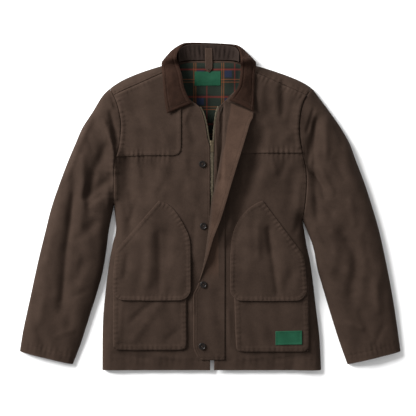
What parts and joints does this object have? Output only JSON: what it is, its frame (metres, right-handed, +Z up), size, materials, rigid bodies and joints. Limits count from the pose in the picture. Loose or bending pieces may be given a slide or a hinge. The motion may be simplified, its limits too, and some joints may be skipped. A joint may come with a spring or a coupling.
{
  "type": "field coat",
  "caption": "Canvas field coat laid flat on its back, front up, zipped, with corduroy collar, half-turned storm flap, arched hand pockets and bellows pockets.",
  "frame": {"origin": "centre of the coat's bounding box in plan, on the surface it lies on", "axes": "+X towards the wearer's left sleeve, +Y towards the collar, +Z up from the surface, out of the coat's front"},
  "size_m": [0.9355, 0.8041, 0.0646],
  "materials": {
    "canvas": "dry brown cotton canvas, fine plain weave, slightly faded at seams",
    "corduroy": "fine red-brown corduroy",
    "lining": "brushed cotton in a dark plaid",
    "label": "woven green label, bare",
    "zip_tape": "woven twill tape",
    "zip_metal": "antique brass",
    "button": "polished dark horn-like resin"
  },
  "bodies": {
    "coat": {"back": "canvas", "back_lining": "lining", "bellows_pocket_left": "canvas", "bellows_pocket_right": "canvas", "button_1": "button", "button_2": "button", "button_3": "button", "button_4": "button", "collar": "corduroy", "collar_stand": "canvas", "front_left": "canvas", "front_right": "canvas", "front_yoke": "canvas", "hand_pocket_left": "canvas", "hand_pocket_right": "canvas", "hanger_tab": "canvas", "neck_label": "label", "pocket_label": "label", "shoulder_left": "canvas", "shoulder_patch": "canvas", "shoulder_right": "canvas", "sleeve_top_left": "canvas", "sleeve_top_right": "canvas", "sleeve_under_left": "canvas", "sleeve_under_right": "canvas", "storm_flap": "canvas", "zip_slider": "zip_metal", "zip_tape_left": "zip_tape", "zip_tape_right": "zip_tape"},
    "zip_pull": {"zip_pull_tab": "zip_metal"}
  },
  "joints": [
    {"name": "zip_pull_hinge", "type": "hinge", "parent": "coat", "child": "zip_pull", "pos_m": [0.005, 0.154, 0.04269], "axis": [-1, 0, 0], "range_deg": [0, 150]}
  ]
}
